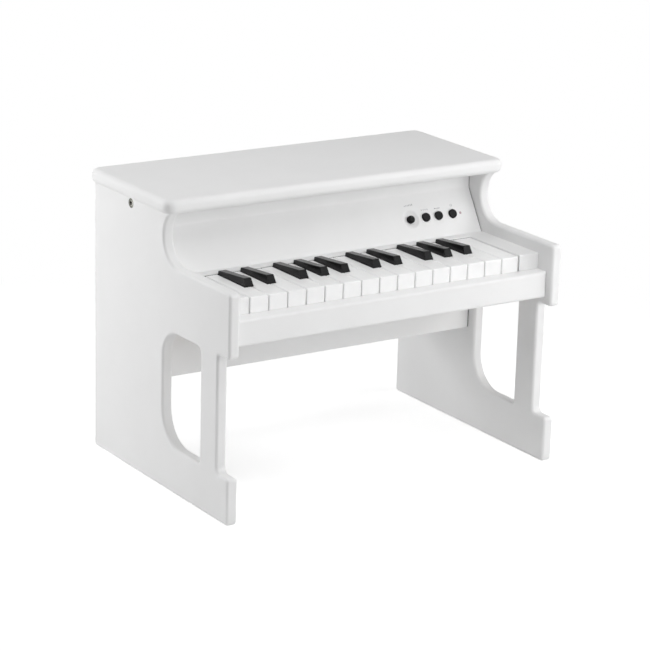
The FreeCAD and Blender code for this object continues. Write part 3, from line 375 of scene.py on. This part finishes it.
# Enamel paint, wiped into place: grey and dull, a little uneven.
pointer_paint = clouded("pointer_enamel", 0.4, ("#3E3F41", "#4A4B4D"), (0.45, 0.55), settings={"IOR": 1.5})
new_piece("knob_pointer", [bar(pointer_path, right, panel_out, pointer_width, paint_film)], pointer_paint,
          "volume_knob")


# Panel print
# Small grey marks above the controls, screen-printed on the lacquer: a rising row of ticks for loudness,
# level ticks for the sounds, a triangle and line for the tune, a broken ring with a bar for the power.
ink_film = 0.03 * mm
tick_width = 0.75 * mm


def on_panel(x, up):
    """Points of the sloped face: the knob's place, moved along the piano and up the slope, in metres."""
    x, up = np.broadcast_arrays(np.atleast_1d(x), np.atleast_1d(up))
    return knob_at + np.outer(x - knob_at[0], right) + np.outer(up, up_slope)


def tick_row(x, foot, span, heights):
    """Upright ticks spread evenly over a span, centred on x, with the given heights."""
    places = x + np.linspace(-0.5, 0.5, len(heights)) * (span - tick_width)
    return [bar(on_panel(place, (foot, foot + height)), right, panel_out, tick_width, ink_film)
            for place, height in zip(places, heights)]


def middle_x(name):
    """Middle of a node along the piano."""
    low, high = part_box(name)
    return (low.x + high.x) / 2


volume_foot, volume_span, volume_shift = 14.7 * mm, 10.5 * mm, 0.9 * mm
volume_heights = np.linspace(1.0, 2.2, 6) * mm
marks = tick_row(knob_at[0] + volume_shift, volume_foot, volume_span, volume_heights)
tone_foot, tone_span, tone_shift = 7.8 * mm, 8.3 * mm, 0.4 * mm
tone_heights = np.full(4, 1.5 * mm)
marks += tick_row(middle_x("tone_button") + tone_shift, tone_foot, tone_span, tone_heights)

demo_up, demo_length, demo_height, demo_line = 8.3 * mm, 2.2 * mm, 1.6 * mm, 0.6 * mm
demo_shift, demo_span = -2.9 * mm, 7.0 * mm
demo_taper = np.array((1.0, 0.05))
demo_left = middle_x("demo_button") + demo_shift
demo_right = demo_left + demo_span
marks.append(bar(on_panel(np.array((demo_left, demo_left + demo_length)), demo_up), up_slope, panel_out,
                 demo_height * demo_taper, ink_film))
marks.append(bar(on_panel(np.array((demo_left + demo_length + demo_line, demo_right)), demo_up), up_slope,
                 panel_out, demo_line, ink_film))

power_up, power_ring, power_line, power_shift = 9.6 * mm, 1.2 * mm, 0.35 * mm, 0.9 * mm
power_gap, power_points = 80.0, 29
power_bar = np.array((0.3, 1.3)) * power_ring
sweep = np.radians(np.linspace(90.0 + power_gap / 2, 450.0 - power_gap / 2, power_points))
spokes = np.outer(np.cos(sweep), right) + np.outer(np.sin(sweep), up_slope)
power_x = middle_x("power_button") + power_shift
power_path = on_panel(power_x, power_up) + spokes * power_ring
marks.append(bar(power_path, spokes, panel_out, power_line, ink_film))
marks.append(bar(on_panel(power_x, power_up + power_bar), right, panel_out, power_line, ink_film))

# Screen ink: mid grey, dull, with the fine speckle of the screen's mesh.
grey_ink = clouded("grey_screen_ink", 0.3, ("#949597", "#A3A4A6"), (0.55, 0.65), settings={"IOR": 1.5})
new_piece("panel_print", marks, grey_ink, "cabinet")


# Gap shade strips
# Black felt strips as painted shade in the gaps: between the ends of the control panel and knee board and
# the sides, and along the bridge behind the keys. They stand for the shadow there and show as thin dark
# lines.
side_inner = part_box("right_side_panel")[0].x
panel_low, panel_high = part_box("front_panel")
knee_low, knee_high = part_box("knee_board")
bezel_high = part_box("keyboard_bezel")[1]
inward = np.array((0.0, 1.0, 0.0))
upright = np.array((0.0, 0.0, 1.0))
shade_setback, shade_depth, shade_slack = 0.6 * mm, 3.0 * mm, 0.1 * mm

# The panel's face, from its foot up the slope to the crease and up the strip under the lid.
strip_height = 21.5 * mm
heights = np.array((panel_low.z + shade_depth, panel_high.z - strip_height))
panel_face = knob_at + np.outer((heights - knob_at[2]) / up_slope[2], up_slope)
panel_face = np.vstack((panel_face, panel_face[-1] + upright * strip_height))
knee_face = np.array(((0.0, knee_low.y, knee_low.z), (0.0, knee_low.y, knee_high.z)))
shade_strips = []
for face, board_end in ((panel_face, panel_high.x), (knee_face, knee_high.x)):
    gap = side_inner - board_end
    for side in (-1, 1):
        path = face * (0, 1, 1) + right * side * (board_end + gap / 2) + inward * shade_setback
        shade_strips.append(bar(path, right, inward, gap - 2 * shade_slack, shade_depth))

# Painted shade in the slot between the keys' tails and the bridge.
bridge_depth = 10.9 * mm
slot_shade_width, slot_shade_height, slot_shade_drop = 1.1 * mm, 2.3 * mm, 1.2 * mm
slot_overrun = 0.8 * mm
slot_end = slot_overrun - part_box("white_key_01")[0].x
slot_y = bezel_high.y - bridge_depth - slot_shade_width / 2
slot_z = bezel_high.z - slot_shade_drop - slot_shade_height
slot_path = np.array(((-slot_end, slot_y, slot_z), (slot_end, slot_y, slot_z)))
shade_strips.append(bar(slot_path, inward, upright, slot_shade_width, slot_shade_height))

# Painted shade for the gaps: pressed wool felt, dyed black, dull and furry.
gap_shade_felt = clouded("gap_shade_wool_felt", 0.6, ("#1C1C1D", "#2A2A2B"), (0.92, 0.98), relief=0.1, octaves=8.0,
                     settings={"Sheen Weight": 0.2})
new_piece("painted_gap_shade", shade_strips, gap_shade_felt, "cabinet")


# Speaker
# A pressed steel basket, black, and a black paper cone that shows through the slots of the back.

# Stove enamel on steel: black, with the slight drips of a dipped coat, 4 mm across.
black_enamel = clouded("black_enamel", 4.0, ("#161617", "#1D1D1E"), (0.30, 0.42), settings={"IOR": 1.5})
dress(black_enamel, "speaker_frame")

# Pressed paper pulp: dull black with short fibres.
paper = clouded("paper_pulp", 1.0, ("#1B1B1B", "#2B2A29"), (0.85, 0.95), relief=0.1, octaves=8.0,
                settings={"IOR": 1.45})
dress(paper, "speaker_cone")


# Battery cells
# Six plain cells in their box, each in a shrunk film sleeve.

# Metallised film: dark, with soft bands some 20 mm wide where it was drawn tight.
sleeve = clouded("metallised_film", 20.0, ("#3A3B3D", "#47484A"), (0.30, 0.40), settings={"Metallic": 0.6})
dress(sleeve, "battery_cells")


# Camera
# A long lens stands high at the front left, as in the photograph.
lens = 141.66
sensor = 36.0
camera_place = (-1.4077, -2.1419, 0.9171)
yaw = math.radians(-33.311)
pitch = math.radians(16.847)
roll = math.radians(1.552)
back = Vector((math.sin(yaw) * math.cos(pitch), -math.cos(yaw) * math.cos(pitch), math.sin(pitch)))
level = Vector((math.cos(yaw), math.sin(yaw), 0.0))
above = back.cross(level)
sideways = level * math.cos(roll) + above * math.sin(roll)
upward = above * math.cos(roll) - level * math.sin(roll)
camera_data = bpy.data.cameras.new("camera")
camera_data.lens = lens
camera_data.sensor_width = sensor
camera_data.clip_end = 20.0
camera = bpy.data.objects.new("camera", camera_data)
camera.matrix_world = Matrix((sideways, upward, back)).transposed().to_4x4()
camera.location = camera_place
bpy.context.scene.collection.objects.link(camera)
bpy.context.scene.camera = camera


# Studio
# A white paper floor that keeps the shadow, a white surround, and soft boxes: low ones at the right front
# and the left back, which leave the edges towards the camera a little darker, and wide ones that fill
# from above and from the front.
scene = bpy.context.scene
scene.view_settings.view_transform = "Standard"
world = bpy.data.worlds.new("studio")
world.use_nodes = True
scene.world = world
tree = world.node_tree
tree.nodes.clear()
path = add(tree, "LightPath")
seen = add(tree, "Math", {"operation": "MAXIMUM"},
           {0: path.outputs["Is Camera Ray"], 1: path.outputs["Is Glossy Ray"]})
seen = add(tree, "Math", {"operation": "MAXIMUM"},
           {0: seen.outputs[0], 1: path.outputs["Is Transmission Ray"]})
surround_light, surround_seen = 0.05, 1.0
strength = add(tree, "MapRange", {"To Min": surround_light, "To Max": surround_seen},
               {"Value": seen.outputs[0]})
surround = add(tree, "Background", {"Color": (1, 1, 1, 1)}, {"Strength": strength.outputs["Result"]})
add(tree, "OutputWorld", links={"Surface": surround.outputs[0]})

floor_half = 4.0
floor_mesh = bpy.data.meshes.new("floor")
corners = np.array([(-1, -1, 0), (1, -1, 0), (1, 1, 0), (-1, 1, 0)]) * floor_half
floor_mesh.from_pydata(corners.tolist(), [], [(0, 1, 2, 3)])
floor = bpy.data.objects.new("floor", floor_mesh)
scene.collection.objects.link(floor)

# Studio paper: matt white. The camera sees it lifted to white, fully so away from the piano's shadow.
floor_paper, tree, place = blank("studio_paper")
paper_lift = 0.5
shadow_reach, white_reach = 0.35, 0.75
matt = add(tree, "BsdfDiffuse", {"Color": linear("#F4F4F4")})
lift = add(tree, "Emission", {"Color": (1, 1, 1, 1), "Strength": paper_lift})
near = add(tree, "AddShader", {}, {0: matt.outputs[0], 1: lift.outputs[0]})
far = add(tree, "Emission", {"Color": (1, 1, 1, 1), "Strength": 1.0})
distance = add(tree, "VectorMath", {"operation": "LENGTH"}, {0: place})
away = add(tree, "MapRange", {"From Min": shadow_reach, "From Max": white_reach},
           {"Value": distance.outputs["Value"]})
shown = add(tree, "MixShader", {}, {0: away.outputs["Result"], 1: near.outputs[0], 2: far.outputs[0]})
path = add(tree, "LightPath")
paper_mix = add(tree, "MixShader", {}, {0: path.outputs["Is Camera Ray"], 1: matt.outputs[0],
                                       2: shown.outputs[0]})
add(tree, "OutputMaterial", links={"Surface": paper_mix.outputs[0]})
floor_mesh.materials.append(floor_paper)


def soft_box(name, place, size, watts):
    """Square area lamp at a place, turned to the middle of the piano."""
    aim = Vector((0.0, 0.0, 0.2))
    lamp_data = bpy.data.lights.new(name, "AREA")
    lamp_data.size = size
    lamp_data.energy = watts
    lamp = bpy.data.objects.new(name, lamp_data)
    lamp.location = place
    lamp.rotation_euler = (aim - Vector(place)).to_track_quat("-Z", "Y").to_euler()
    scene.collection.objects.link(lamp)


soft_box("right_front_box", (0.55, -0.65, 0.35), 0.35, 1.2)
soft_box("right_side_box", (1.0, -0.5, 0.55), 0.5, 2.9)
soft_box("left_back_box", (-1.0, 0.9, 0.35), 0.6, 8.7)
soft_box("front_box", (0.2, -2.4, 0.9), 1.2, 13.8)
soft_box("front_left_box", (-1.2, -2.4, 1.2), 1.4, 7.6)
soft_box("top_box", (0.0, 0.2, 2.4), 1.6, 8.7)
soft_box("over_keys_box", (0.0, -0.5, 1.2), 0.6, 3.3)
soft_box("over_lid_box", (-0.6, 0.3, 1.0), 0.5, 1.9)
